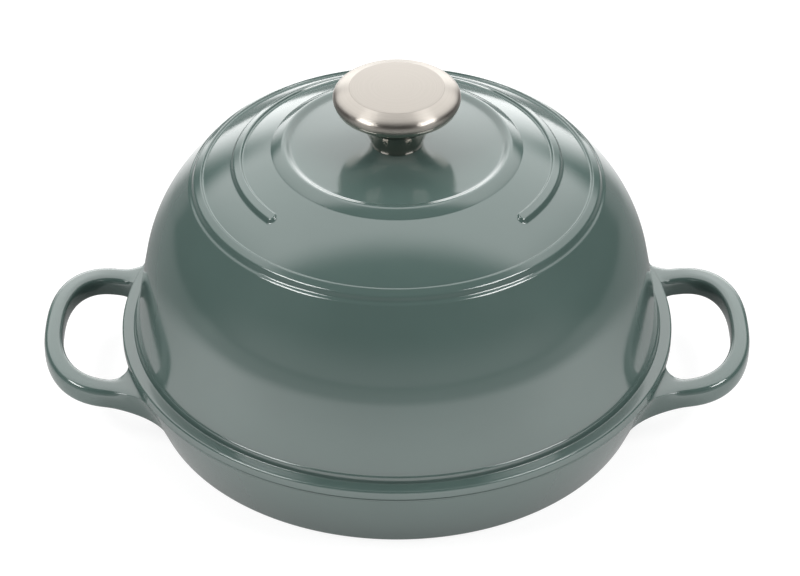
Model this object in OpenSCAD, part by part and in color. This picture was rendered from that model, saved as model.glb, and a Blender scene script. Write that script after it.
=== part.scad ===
// Bread cloche: a shallow pan with two loop handles, and a tall domed lid with a steel knob.
// Millimetres. The origin is on the table, under the middle of the pan, and +Z is up.
// The handles lie along X, and the open stretch of the lid's middle ring faces -Y.

/* [Pan] */
// Radius of the pan's rim, which is also that of the lid's flange
rim_r = 125; // [123:0.5:128]
// Height of the pan's rim, where the lid rests
rim_h = 34.5; // [32:0.5:38]
// Radius of the pan's wall where it meets the rounded foot
foot_r = 112.2; // [110:0.2:114]
// Radius of the rounding between the pan's wall and its underside
foot_round = 2; // [1:0.5:5]
// Thickness of the pan's wall
pan_wall = 4.8; // [4:0.1:6]
// Thickness of the pan's floor
pan_floor = 5; // [4:0.5:7]
// Number of low ridges on the cooking floor
ridge_count = 7; // [3:1:8]
// Height of each ridge
ridge_h = 0.9; // [0.5:0.1:1.5]

/* [Handles] */
// Reach of the handles from the middle of the pan to their outer edge
handle_reach = 160.8; // [156:0.2:168]
// Distance of each handle's two arms from the line through both handles
arm_y = 42; // [38:0.2:46]
// Width of the handle's bar at its far end, seen from above
bar_w = 8.6; // [8:0.2:12]
// Width of the bar along its two arms
arm_w = 11.2; // [8:0.2:13]
// Height of the handle's bar
bar_h = 10.6; // [9:0.2:14]
// Height of the bar's upper face above the table, where the bend starts
bar_top = 31.7; // [30:0.1:33]
// Rise of the handles away from the pan, in degrees
handle_rise = 8.5; // [0:0.5:10]
// Squareness of the bend seen from above, where 2 is an ellipse
bend_square = 2.4; // [2:0.1:3]
// Squareness of the bar's section, where 2 is an ellipse
bar_square = 4; // [2:0.2:5]

/* [Lid] */
// Radius of the dome's wall just above the collar
dome_r = 118.5; // [117:0.5:120]
// Lean of the dome's wall from upright, in degrees
wall_lean = 11; // [8:0.5:14]
// Height above the table at which the wall starts to turn in
shoulder_z = 74.2; // [65:0.2:80]
// Radius of the shoulder's turn
shoulder_r = 70; // [55:1:85]
// Lean of the dome above the shoulder, in degrees
upper_lean = 38; // [32:1:42]
// Outer radius of the largest ring, where the dome meets the crown
crown_r = 92; // [88:0.2:94]
// Radius of the sphere that the crown is part of
crown_ball = 170; // [150:1:200]
// Thickness of the lid
lid_wall = 4.5; // [3.5:0.1:6]
// Depth by which the locating lip reaches into the pan
lip_depth = 3; // [2:0.5:5]
// Gap around the locating lip
lip_gap = 0.8; // [0.5:0.1:1.5]

/* [Rings] */
// Outer radius of the middle ring, which is open at the front
middle_ring_r = 73.3; // [70:0.1:76]
// Outer radius of the small ring around the disc
small_ring_r = 55.4; // [52:0.1:58]
// Width of each ring
ring_w = 6; // [4:0.5:8]
// Height of each ring above the crown
ring_h = 1.35; // [0.6:0.05:1.8]
// Half of the angle that the middle ring leaves open at the front
ring_gap = 50; // [20:1:80]

/* [Knob] */
// Height of the knob's top above the table
knob_top_z = 162.5; // [160:0.5:165]
// Radius of the knob's head
knob_r = 27.8; // [24:0.2:32]
// Radius of the flat top of the head
knob_flat_r = 20.4; // [16:0.2:21]
// Radius of the neck where it stands on the lid
neck_r = 11.5; // [10:0.1:13]

/* [Screw and washer] */
// Radius of the screw's shank
shank_r = 2.95; // [2.45:0.05:3.45]
// Radius of the screw's head
head_r = 5.5; // [5:0.5:8]
// Height of the screw's head
head_h = 3.2; // [2.5:0.1:4.5]
// Outer radius of the washer
washer_r = 8; // [7:0.5:11]
// Thickness of the washer
washer_t = 1.2; // [0.8:0.1:2]

/* [Hidden] */
$fn = 96;

// Colours as the photograph shows them
enamel = [0.45, 0.53, 0.51];
steel = [0.80, 0.78, 0.75];
zinc = [0.68, 0.69, 0.70];

// Points on an arc about c, from angle a to angle b
function arc(c, r, a, b, n = 8) =
    [for (i = [0 : n]) let (t = a + (b - a) * i / n) c + r * [cos(t), sin(t)]];

// Points on a curve from p to s that starts towards q and ends coming from r
function curve(p, q, r, s, n = 12) =
    [for (i = [0 : n]) let (t = i / n, u = 1 - t)
        u * u * u * p + 3 * u * u * t * q + 3 * u * t * t * r + t * t * t * s];

// Pan: the outside leans out from the rounded foot to the rim
wall_slope = (rim_r - foot_r) / (rim_h - foot_round);
wall_out = atan(wall_slope);
rim_edge = 1;
seat_r = rim_r - pan_wall;
cavity_round = 9;
cavity_z = pan_floor + cavity_round;
cavity_c = [foot_r - pan_wall + wall_slope * (cavity_z - foot_round) - cavity_round / cos(wall_out),
    cavity_z];
ridge_w = 3.2;
ridge_first_r = 16;
ridge_pitch = 12;

// Handle: the bar's middle line is a squared half ellipse with two straight arms that widen into
// the wall, and it rises outwards
bend_x = 129.8;
rise_slope = tan(handle_rise);
bend_reach = handle_reach - bar_w / 2 - bend_x;
root_x = 96;
root_flare = 0.25;
root_power = 1.4;
root_drop = 8;
bend_steps = 32;
arm_steps = 8;
section_steps = 18;

// Lid: flange, ledge, collar, leaning wall, shoulder arc and straight upper slope up to the crown
flange_h = 3.6;
flange_foot = 0.3;
flange_round = 1.1;
collar_out = 0.35;
collar_round = 0.5;
collar_z = rim_h + 7.5;
cove_r = 1.2;
wall_foot_z = rim_h + 8.3;
shoulder_x = dome_r - (shoulder_z - wall_foot_z) * tan(wall_lean);
shoulder_c = [shoulder_x - shoulder_r * cos(wall_lean), shoulder_z - shoulder_r * sin(wall_lean)];
upper_start = shoulder_c + shoulder_r * [cos(upper_lean), sin(upper_lean)];
crown_z = upper_start[1] + (upper_start[0] - crown_r) / tan(upper_lean);
crown_c = crown_z - sqrt(crown_ball * crown_ball - crown_r * crown_r);
large_ring_r = crown_r - 1;
ring_slope = 1.9;
small_ring_slope = 3.8;
disc_r = small_ring_r - ring_w - 0.8;
disc_z = 133.6;
disc_edge_z = disc_z - 1.3;
seat_flat_r = 12.6;
ceiling_z = disc_z - 5.2;
lip_r = seat_r - lip_gap;
lip_edge = 1;
hole_r = 3.5;
inner_shoulder = shoulder_r - lid_wall;
inner_start = shoulder_c + inner_shoulder * [cos(wall_lean), sin(wall_lean)];
mouth_r = inner_start[0] + (inner_start[1] - rim_h) * tan(wall_lean);

// Radius of the dome's leaning wall at height z
function wall_at(z) = dome_r - (z - wall_foot_z) * tan(wall_lean);

// Height of the crown's sphere, lowered by d, at radius r
function crown(r, d = 0) =
    crown_c + sqrt(pow(crown_ball - d, 2) - r * r);

// Outline of a ring's raised band, from its outer foot to its inner foot. Its outer side is slope_w
// wide, and its inner side is steep
function ring_points(r, slope_w) = [
    for (p = [
        [0, 0], [slope_w * 0.3, 0.2], [slope_w * 0.7, 0.8], [slope_w, 1],
        [ring_w - 1.3, 0.97], [ring_w - 0.7, 0.75], [ring_w - 0.3, 0.35], [ring_w, 0]
    ])
    [r - p[0], crown(r - p[0]) + ring_h * p[1]]
];

// Points on the crown's sphere from radius a in to radius b
function crown_points(a, b, n = 8, d = 0) =
    [for (i = [0 : n]) let (r = a + (b - a) * i / n) [r, crown(r, d)]];

// A sine or cosine v, squared off as in an ellipse of squareness n
function square_off(v, n) = sign(v) * pow(abs(v), 2 / n);

// Half width and height of the bar at distance d inside the bend, where across is how far it faces
// along Y
function bar_half_w(d, across) =
    (bar_w + (arm_w - bar_w) * pow(across, 1.5) + root_flare * pow(d, root_power)) / 2;
function bar_depth(d) = bar_h + root_drop * pow(d / (bend_x - root_x), 2);

// One section of the handle: where its middle is, which way it faces and how far in it is
function bend_stop(t) =
    let (x = square_off(cos(t), bend_square), y = square_off(sin(t), bend_square))
    [
        [bend_x + bend_reach * x, arm_y * y],
        [pow(abs(x), bend_square - 1) / bend_reach, sign(y) * pow(abs(y), bend_square - 1) / arm_y],
        0
    ];
function arm_stop(d, side) = [[bend_x - d, side * arm_y], [0, side], d];
arm_d = bend_x - root_x;
stops = concat(
    [for (i = [0 : arm_steps - 1]) arm_stop(arm_d * (1 - i / arm_steps), -1)],
    [for (i = [0 : bend_steps]) bend_stop(-90 + 180 * i / bend_steps)],
    [for (i = [1 : arm_steps]) arm_stop(arm_d * i / arm_steps, 1)]
);

function section(stop) =
    let (
        out = stop[1] / norm(stop[1]),
        w = bar_half_w(stop[2], abs(out[1])),
        h = bar_depth(stop[2]),
        mid_z = bar_top + (stop[0][0] - bend_x) * rise_slope - h / 2
    )
    [for (i = [0 : section_steps - 1])
        let (
            a = 360 * i / section_steps,
            x = w * square_off(cos(a), bar_square),
            z = h / 2 * square_off(sin(a), bar_square)
        )
        [stop[0][0] + out[0] * x, stop[0][1] + out[1] * x, mid_z + z]];

module handle() {
    sections = [for (s = stops) section(s)];
    n = section_steps;
    last = len(stops) - 1;
    points = [for (s = sections) each s];
    sides = [for (i = [0 : last - 1], j = [0 : n - 1], half = [0, 1])
        let (
            a = i * n + j,
            b = i * n + (j + 1) % n
        )
        half == 0 ? [a, b, a + n] : [b, b + n, a + n]];
    caps = [
        [for (j = [n - 1 : -1 : 0]) j],
        [for (j = [0 : n - 1]) last * n + j]
    ];
    polyhedron(points, concat(sides, caps));
}

// The pan's outside as a solid puck
module pan_outside() {
    foot_c = [foot_r - foot_round / cos(wall_out), foot_round];
    rotate_extrude()
        polygon(concat(
            [[0, 0]],
            arc(foot_c, foot_round, -90, -wall_out, 6),
            [[rim_r - wall_slope * rim_edge, rim_h - rim_edge]],
            [[rim_r - rim_edge * 0.6, rim_h], [0, rim_h]]
        ));
}

// The space inside the pan, with the ridges left standing on its floor
module pan_cavity() {
    difference() {
        rotate_extrude()
            polygon(concat(
                [[0, pan_floor]],
                arc(cavity_c, cavity_round, -90, -wall_out, 8),
                [[seat_r - wall_slope * rim_edge, rim_h - rim_edge], [seat_r + 0.4, rim_h]],
                [[seat_r + 0.4, rim_h + 1], [0, rim_h + 1]]
            ));
        for (i = [0 : ridge_count - 1])
            ridge(ridge_first_r + i * ridge_pitch);
    }
}

module ridge(r) {
    rotate_extrude()
        translate([r, pan_floor - 1])
            polygon([
                [-ridge_w / 2, 0], [ridge_w / 2, 0], [ridge_w / 2, 1],
                [ridge_w / 4, 1 + ridge_h], [-ridge_w / 4, 1 + ridge_h], [-ridge_w / 2, 1]
            ]);
}

module base() {
    color(enamel)
        difference() {
            union() {
                pan_outside();
                handle();
                mirror([1, 0, 0]) handle();
            }
            pan_cavity();
        }
}

// The lid's outside as a solid of revolution, with its two whole rings
module dome_outside() {
    edge_c = [rim_r - flange_round, rim_h + flange_h - flange_round];
    cove_z = rim_h + flange_h + cove_r;
    cove_c = [wall_at(cove_z) + collar_out + cove_r / cos(wall_lean), cove_z];
    top_z = collar_z - collar_round;
    top_c = [wall_at(top_z) + collar_out - collar_round / cos(wall_lean), top_z];
    rotate_extrude()
        polygon(concat(
            [[0, rim_h], [rim_r - flange_foot, rim_h], [rim_r, rim_h + flange_foot]],
            arc(edge_c, flange_round, 0, 90, 5),
            arc(cove_c, cove_r, 270, 180 + wall_lean, 5),
            arc(top_c, collar_round, wall_lean, 70, 4),
            [[dome_r, wall_foot_z]],
            arc(shoulder_c, shoulder_r, wall_lean, upper_lean, 10),
            [[crown_r, crown_z]],
            ring_points(large_ring_r, ring_slope),
            crown_points(large_ring_r - ring_w - 2, small_ring_r + 1.5, 8),
            ring_points(small_ring_r, small_ring_slope),
            [[disc_r, disc_edge_z], [seat_flat_r, disc_z], [0, disc_z]]
        ));
}

// The middle ring, open at the front, with rounded ends
module middle_ring() {
    sink = 1.5;
    band = ring_points(middle_ring_r, ring_slope);
    mid_r = middle_ring_r - ring_w / 2;
    tilt = asin(mid_r / crown_ball);
    rotate([0, 0, ring_gap - 90])
        rotate_extrude(angle = 360 - 2 * ring_gap)
            polygon(concat(
                [for (i = [1 : 6]) band[i]],
                [band[7] - [0, sink], band[0] - [0, sink]]
            ));
    for (side = [-1, 1])
        rotate([0, 0, side * ring_gap - 90])
            translate([mid_r, 0, crown(mid_r)])
                rotate([0, tilt, 0])
                    ring_end(sink);
}

module ring_end(sink) {
    half = ring_w / 2;
    rotate_extrude()
        polygon([
            [0, -sink], [half, -sink], [half - 0.2, 0.1], [half - 0.7, ring_h * 0.6],
            [half - 1.5, ring_h * 0.9], [0, ring_h * 0.95]
        ]);
}

// The hollow of the lid: it follows the outside at the wall's thickness, under a flat ceiling
module dome_inside() {
    below = rim_h - lip_depth - 1;
    ceiling_r = sqrt(pow(crown_ball - lid_wall, 2) - pow(ceiling_z - crown_c, 2));
    rotate_extrude()
        polygon(concat(
            [[0, below], [mouth_r, below], [mouth_r, rim_h]],
            arc(shoulder_c, inner_shoulder, wall_lean, upper_lean, 10),
            crown_points(crown_r - lid_wall, ceiling_r, 8, lid_wall),
            [[0, ceiling_z]]
        ));
}

// The locating lip: it leans in with the pan's wall, at an even gap from it
module lip() {
    foot_z = rim_h - lip_depth;
    edge_r = lip_r - wall_slope * (lip_depth - lip_edge);
    rotate_extrude()
        polygon([
            [0, foot_z], [edge_r - lip_edge, foot_z], [edge_r, foot_z + lip_edge],
            [lip_r, rim_h], [lip_r, rim_h + 1], [0, rim_h + 1]
        ]);
}

module lid() {
    color(enamel)
        difference() {
            union() {
                dome_outside();
                middle_ring();
                lip();
            }
            dome_inside();
            translate([0, 0, ceiling_z - 1])
                cylinder(r = hole_r, h = disc_z - ceiling_z + 2);
        }
}

// Knob: a neck that flares like a trumpet, under a wide head with a nearly upright side, a bevel
// and a slightly domed top
module knob() {
    bore_r = shank_r + 0.05;
    bore_depth = 14;
    neck_round = 0.3;
    edge_z = knob_top_z - 7.3;
    wide_z = knob_top_z - 5.4;
    bevel_z = knob_top_z - 2.2;
    top_dome = 0.6;
    flat_steps = 4;
    color(steel)
        difference() {
            rotate_extrude()
                polygon(concat(
                    [[0, disc_z], [neck_r - neck_round, disc_z]],
                    curve([neck_r, disc_z + neck_round], [neck_r + 0.8, disc_z + 6.5],
                        [neck_r + 6.4, disc_z + 15], [knob_r - 1.2, edge_z - 2], 16),
                    [[knob_r - 0.5, edge_z - 0.3]],
                    curve([knob_r - 0.4, edge_z], [knob_r - 0.1, edge_z + 0.8],
                        [knob_r, wide_z - 1], [knob_r, wide_z], 4),
                    curve([knob_r, wide_z], [knob_r, wide_z + 2.4],
                        [knob_r - 2.6, bevel_z], [knob_flat_r + 0.4, knob_top_z - top_dome - 0.15], 8),
                    [for (i = [0 : flat_steps])
                        [knob_flat_r * (1 - i / flat_steps),
                            knob_top_z - top_dome * pow(1 - i / flat_steps, 2)]]
                ));
            translate([0, 0, disc_z - 1])
                cylinder(r = bore_r, h = bore_depth + 1);
        }
}

// Screw: a rounded pan head with a cross recess, and a shank that ends inside the knob
module knob_screw() {
    head_z = ceiling_z - washer_t;
    shank_l = 17;
    dome = 1.2;
    ball_r = (head_r * head_r + dome * dome) / (2 * dome);
    slot_w = 1.2;
    slot_l = 6;
    color(zinc)
        difference() {
            union() {
                translate([0, 0, head_z - head_h + dome])
                    cylinder(r = head_r, h = head_h - dome);
                intersection() {
                    translate([0, 0, head_z - head_h + ball_r]) sphere(r = ball_r);
                    translate([0, 0, head_z - head_h]) cylinder(r = head_r, h = dome + 0.01);
                }
                translate([0, 0, head_z - 0.5])
                    cylinder(r = shank_r, h = shank_l - 0.5);
                translate([0, 0, head_z + shank_l - 1])
                    cylinder(r1 = shank_r, r2 = shank_r - 0.8, h = 1);
            }
            for (turn = [0, 90])
                rotate([0, 0, turn])
                    translate([-slot_l / 2, -slot_w / 2, head_z - head_h - 1])
                        cube([slot_l, slot_w, 2.6]);
        }
}

module washer() {
    color(zinc)
        translate([0, 0, ceiling_z - washer_t])
            difference() {
                cylinder(r = washer_r, h = washer_t);
                translate([0, 0, -1])
                    cylinder(r = shank_r + 0.25, h = washer_t + 2);
            }
}

base();
lid();
knob();
knob_screw();
washer();
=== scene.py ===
"""Bread cloche: a shallow cast iron pan with two loop handles, a tall domed lid with raised rings
and a turned steel knob. Everything is in metres, with the origin on the table under the middle of
the pan, +Z up, the handles along X and the open stretch of the lid's middle ring at the front, -Y."""

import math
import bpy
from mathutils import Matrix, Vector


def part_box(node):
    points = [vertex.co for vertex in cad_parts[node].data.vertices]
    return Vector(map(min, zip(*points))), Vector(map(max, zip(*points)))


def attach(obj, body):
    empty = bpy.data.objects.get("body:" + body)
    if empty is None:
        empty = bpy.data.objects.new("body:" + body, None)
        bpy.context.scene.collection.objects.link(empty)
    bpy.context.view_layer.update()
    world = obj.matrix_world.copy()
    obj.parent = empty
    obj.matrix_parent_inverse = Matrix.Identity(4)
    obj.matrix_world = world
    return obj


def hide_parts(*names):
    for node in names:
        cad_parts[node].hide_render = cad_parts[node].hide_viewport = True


bl_info = {
    "name": "Bread Cloche",
    "version": (1, 0, 0),
    "blender": (4, 5, 0),
    "location": "View3D > Sidebar > Cloche",
    "description": "Builds a lidded bread pan in enamelled cast iron with a turned steel knob",
    "category": "Add Mesh",
}

import bmesh
import bpy
from bpy.props import FloatProperty, FloatVectorProperty, PointerProperty
from mathutils import Vector

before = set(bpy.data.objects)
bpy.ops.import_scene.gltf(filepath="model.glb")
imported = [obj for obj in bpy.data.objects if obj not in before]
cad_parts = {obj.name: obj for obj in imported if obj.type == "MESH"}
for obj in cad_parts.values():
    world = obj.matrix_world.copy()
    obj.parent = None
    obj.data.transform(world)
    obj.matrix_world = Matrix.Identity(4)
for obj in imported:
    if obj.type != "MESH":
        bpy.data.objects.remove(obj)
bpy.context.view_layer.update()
PAN_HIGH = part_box("base")[1]
LID_LOW, LID_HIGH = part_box("lid")
KNOB_LOW, KNOB_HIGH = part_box("knob")
SCREW_LOW, SCREW_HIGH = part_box("knob_screw")
WASHER_LOW, WASHER_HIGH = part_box("washer")

MM = 0.001
# Metres or radians too small to count
TINY = 1e-6

# The lid's locating lip hangs below the seam, in millimetres
LIP_DEPTH = 3.0
RIM_Z = LID_LOW.z + LIP_DEPTH * MM


def linear(code):
    """An sRGB hex colour as the linear colour, with alpha, that Blender's sockets take."""
    parts = [int(code[i : i + 2], 16) / 255 for i in (1, 3, 5)]
    return [p / 12.92 if p <= 0.04045 else ((p + 0.055) / 1.055) ** 2.4 for p in parts] + [1.0]


def length(name, description, default):
    """The settings of a property that holds a length."""
    return {"name": name, "description": description, "default": default, "unit": "LENGTH", "precision": 4}


def colour(name, description, code):
    """The settings of a property that holds a colour."""
    return {
        "name": name, "description": description, "default": linear(code)[:3],
        "subtype": "COLOR", "size": 3, "min": 0.0, "max": 1.0,
    }


class ClocheSizes(bpy.types.PropertyGroup):
    """Sizes of the castings and the knob, in metres."""

    rim_radius: FloatProperty(**length("Rim radius", "Radius of pan and lid where they meet", LID_HIGH.x))
    rim_height: FloatProperty(**length("Rim height", "Height of the seam between pan and lid", RIM_Z))
    foot_radius: FloatProperty(**length("Foot radius", "Radius of the pan at the foot of its wall", 0.1122))
    pan_wall: FloatProperty(**length("Pan wall", "Thickness of the pan's wall", 0.0048))
    handle_reach: FloatProperty(**length("Handle reach", "Pan's middle to a handle's outer edge", PAN_HIGH.x))
    bar_width: FloatProperty(**length("Bar width", "Width of a handle's bar at its far end", 0.0086))
    arm_width: FloatProperty(**length("Arm width", "Width of a handle's bar along its arms", 0.0112))
    bar_height: FloatProperty(**length("Bar height", "Height of a handle's bar", 0.0106))
    dome_radius: FloatProperty(**length("Dome radius", "Radius of the dome just above the collar", 0.1185))
    crown_radius: FloatProperty(**length("Crown radius", "Radius where the dome turns into the crown", 0.092))
    lid_wall: FloatProperty(**length("Lid wall", "Thickness of the lid", 0.0045))
    ring_height: FloatProperty(**length("Ring height", "Height of the raised rings above the crown", 0.00135))
    knob_radius: FloatProperty(**length("Knob radius", "Radius of the knob's head", KNOB_HIGH.x))
    knob_top: FloatProperty(**length("Knob top", "Height of the knob's top above the table", KNOB_HIGH.z))


class ClocheColours(bpy.types.PropertyGroup):
    """Colours of the finishes."""

    enamel: FloatVectorProperty(**colour("Enamel", "Grey green enamel outside", "#495A56"))
    lining: FloatVectorProperty(**colour("Lining", "Satin black enamel inside", "#1B1B1C"))
    steel: FloatVectorProperty(**colour("Steel", "Stainless steel of the knob", "#BDB7AF"))
    zinc: FloatVectorProperty(**colour("Zinc", "Zinc plating of the screw and washer", "#B4B6B8"))


def arc(centre, radius, start, end, steps):
    """Points on an arc in the outline's plane, between two angles in degrees."""
    angles = [math.radians(start + (end - start) * i / steps) for i in range(steps + 1)]
    return [(centre[0] + radius * math.cos(a), centre[1] + radius * math.sin(a)) for a in angles]


def bezier(p, q, r, s, steps):
    """Points on a curve from p to s that leaves towards q and arrives from r."""
    points = []
    for i in range(steps + 1):
        t = i / steps
        weights = ((1 - t) ** 3, 3 * (1 - t) ** 2 * t, 3 * (1 - t) * t * t, t**3)
        points.append(tuple(sum(w * c[k] for w, c in zip(weights, (p, q, r, s))) for k in (0, 1)))
    return points


def straight(p, q, steps):
    """Points on a straight line from p to q."""
    return [tuple(a + (b - a) * i / steps for a, b in zip(p, q)) for i in range(steps + 1)]


def finish(points, slot):
    """Marks a stretch of an outline, given in millimetres, with its material slot."""
    return [(r * MM, z * MM, slot) for r, z in points]


def tidy(outline):
    """Drops the points of an outline that lie on the one before."""
    kept = [outline[0]]
    for point in outline[1:]:
        if math.hypot(point[0] - kept[-1][0], point[1] - kept[-1][1]) > TINY:
            kept.append(point)
        else:
            kept[-1] = point
    return kept


def spaced(stops):
    """Angles in radians round a full turn, from pairs of a start angle in degrees and a step count."""
    angles = []
    for (start, steps), (end, _) in zip(stops, stops[1:]):
        angles += [math.radians(start + (end - start) * i / steps) for i in range(steps)]
    return angles


EVEN = spaced([(0, 360), (360, 0)])


def turn(shape, outline, angles, closed=False, lift=None):
    """Turns an outline of (radius, height, slot) about Z in the bmesh shape, and returns its rings
    of vertices. lift gives what is added to a point's height, from its radius and angle."""
    rings = []
    for radius, height, _ in outline:
        if radius < TINY:
            rings.append([shape.verts.new((0, 0, height))])
        else:
            rings.append([
                shape.verts.new((
                    radius * math.cos(a), radius * math.sin(a),
                    height + (lift(radius, height, a) if lift else 0),
                ))
                for a in angles
            ])
    pairs = list(zip(rings, rings[1:], outline))
    if closed:
        pairs.append((rings[-1], rings[0], outline[-1]))
    count = len(angles)
    for low, high, point in pairs:
        for j in range(count):
            k = (j + 1) % count
            corners = [low[j % len(low)], low[k % len(low)], high[k % len(high)], high[j % len(high)]]
            face = shape.faces.new(list(dict.fromkeys(corners)))
            face.material_index = point[2]
    return rings


def piece(name, shape, materials, body, node, sharp=40):
    """Makes the bmesh shape a smooth shaded piece that rides on a body and replaces a CAD node."""
    bmesh.ops.recalc_face_normals(shape, faces=shape.faces)
    for edge in shape.edges:
        if len(edge.link_faces) == 2:
            edge.smooth = edge.calc_face_angle(0) < math.radians(sharp)
    for face in shape.faces:
        face.smooth = True
    mesh = bpy.data.meshes.new(name)
    shape.to_mesh(mesh)
    shape.free()
    obj = bpy.data.objects.new(name, mesh)
    bpy.context.scene.collection.objects.link(obj)
    for material in materials:
        mesh.materials.append(material)
    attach(obj, body)
    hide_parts(node)
    return obj


def add_node(tree, kind, inputs=None, **settings):
    """Adds a node: inputs are values or the sockets that feed them, settings are its attributes."""
    node = tree.nodes.new(kind)
    for name, value in settings.items():
        setattr(node, name, value)
    for name, value in (inputs or {}).items():
        if isinstance(value, bpy.types.NodeSocket):
            tree.links.new(value, node.inputs[name])
        else:
            node.inputs[name].default_value = value
    return node


def new_material(name):
    """A node material with its Principled shader, or None for the shader if it was made before."""
    material = bpy.data.materials.get(name)
    if material:
        return material, None, None
    material = bpy.data.materials.new(name)
    material.use_nodes = True
    tree = material.node_tree
    return material, tree, tree.nodes["Principled BSDF"]


def per_metre(size_mm):
    """The texture scale at which one feature is size_mm millimetres wide."""
    return 1 / (size_mm * MM)


def glossy_enamel(colours):
    """Vitreous enamel fired on cast iron: opaque coloured glass, so a deep even colour under a clear
    sharp gloss, with a faint orange peel and the casting's slow waves."""
    material, tree, shader = new_material("glossy_vitreous_enamel")
    if not tree:
        return material
    where = add_node(tree, "ShaderNodeTexCoord").outputs["Object"]
    cloud = add_node(tree, "ShaderNodeTexNoise", {"Vector": where, "Scale": per_metre(45), "Detail": 3.0})
    tone = add_node(
        tree, "ShaderNodeMapRange",
        {"Value": cloud.outputs["Fac"], "From Min": 0.3, "From Max": 0.7, "To Min": 0.96, "To Max": 1.04},
    )
    shaded = add_node(
        tree, "ShaderNodeHueSaturation", {"Color": (*colours.enamel, 1), "Value": tone.outputs["Result"]},
    )
    peel = add_node(tree, "ShaderNodeTexNoise", {"Vector": where, "Scale": per_metre(3.0), "Detail": 1.0})
    wave = add_node(tree, "ShaderNodeTexNoise", {"Vector": where, "Scale": per_metre(28), "Detail": 1.0})
    slow = add_node(tree, "ShaderNodeBump", {"Height": wave.outputs["Fac"], "Distance": 0.08 * MM})
    bump = add_node(
        tree, "ShaderNodeBump",
        {"Height": peel.outputs["Fac"], "Distance": 0.006 * MM, "Normal": slow.outputs["Normal"]},
    )
    tree.links.new(shaded.outputs["Color"], shader.inputs["Base Color"])
    tree.links.new(bump.outputs["Normal"], shader.inputs["Normal"])
    shader.inputs["Roughness"].default_value = 0.12
    shader.inputs["IOR"].default_value = 1.65
    return material


def satin_lining(colours):
    """Satin black enamel on cast iron: matt coloured glass with a fine grain that breaks the gloss,
    as inside the pan and the lid and on the rims where they meet."""
    material, tree, shader = new_material("satin_black_enamel")
    if not tree:
        return material
    where = add_node(tree, "ShaderNodeTexCoord").outputs["Object"]
    grain = add_node(tree, "ShaderNodeTexNoise", {"Vector": where, "Scale": per_metre(0.9), "Detail": 2.0})
    patch = add_node(tree, "ShaderNodeTexNoise", {"Vector": where, "Scale": per_metre(14), "Detail": 3.0})
    tone = add_node(
        tree, "ShaderNodeMapRange",
        {"Value": patch.outputs["Fac"], "From Min": 0.3, "From Max": 0.7, "To Min": 0.8, "To Max": 1.25},
    )
    shaded = add_node(
        tree, "ShaderNodeHueSaturation", {"Color": (*colours.lining, 1), "Value": tone.outputs["Result"]},
    )
    rough = add_node(
        tree, "ShaderNodeMapRange",
        {"Value": patch.outputs["Fac"], "From Min": 0.3, "From Max": 0.7, "To Min": 0.36, "To Max": 0.48},
    )
    bump = add_node(tree, "ShaderNodeBump", {"Height": grain.outputs["Fac"], "Distance": 0.02 * MM})
    tree.links.new(shaded.outputs["Color"], shader.inputs["Base Color"])
    tree.links.new(rough.outputs["Result"], shader.inputs["Roughness"])
    tree.links.new(bump.outputs["Normal"], shader.inputs["Normal"])
    shader.inputs["IOR"].default_value = 1.5
    return material


def turned_steel(colours, name, painted_shade_factor, roughness, mark_mm, mark_depth_mm, anisotropy):
    """Stainless steel turned on a lathe: neutral metal whose fine circular tool marks draw the
    reflections out across them. Real marks are about 0.1 mm apart, drawn coarser so that they show.
    Without anisotropy the marks have been blasted even, which leaves a plain matt sheen. A factor
    below 1 keeps only that share of the steel's colour, which is painted shading, darker than the metal."""
    material, tree, shader = new_material(name)
    if not tree:
        return material
    where = add_node(tree, "ShaderNodeTexCoord").outputs["Object"]
    parts = add_node(tree, "ShaderNodeSeparateXYZ", {"Vector": where})
    flat = add_node(tree, "ShaderNodeCombineXYZ", {"X": parts.outputs["X"], "Y": parts.outputs["Y"]})
    radius = add_node(tree, "ShaderNodeVectorMath", {"Vector": flat.outputs["Vector"]}, operation="LENGTH")
    along = add_node(
        tree, "ShaderNodeMath", {0: radius.outputs["Value"], 1: parts.outputs["Z"]}, operation="ADD",
    )
    marks = add_node(
        tree, "ShaderNodeTexNoise",
        {"W": along.outputs["Value"], "Scale": per_metre(mark_mm), "Detail": 4.0, "Roughness": 0.7},
        noise_dimensions="1D",
    )
    dark, light = 0.94 * painted_shade_factor, 1.06 * painted_shade_factor
    tone = add_node(tree, "ShaderNodeMapRange", {
        "Value": marks.outputs["Fac"], "From Min": 0.25, "From Max": 0.75, "To Min": dark, "To Max": light,
    })
    shaded = add_node(
        tree, "ShaderNodeHueSaturation", {"Color": (*colours.steel, 1), "Value": tone.outputs["Result"]},
    )
    bump = add_node(tree, "ShaderNodeBump", {"Height": marks.outputs["Fac"], "Distance": mark_depth_mm * MM})
    ring = add_node(tree, "ShaderNodeTangent", direction_type="RADIAL", axis="Z")
    tree.links.new(shaded.outputs["Color"], shader.inputs["Base Color"])
    tree.links.new(bump.outputs["Normal"], shader.inputs["Normal"])
    tree.links.new(ring.outputs["Tangent"], shader.inputs["Tangent"])
    shader.inputs["Metallic"].default_value = 1.0
    shader.inputs["Roughness"].default_value = roughness
    shader.inputs["Anisotropic"].default_value = anisotropy
    # A quarter turn lays the grain round the axis
    shader.inputs["Anisotropic Rotation"].default_value = 0.25
    return material


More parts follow.
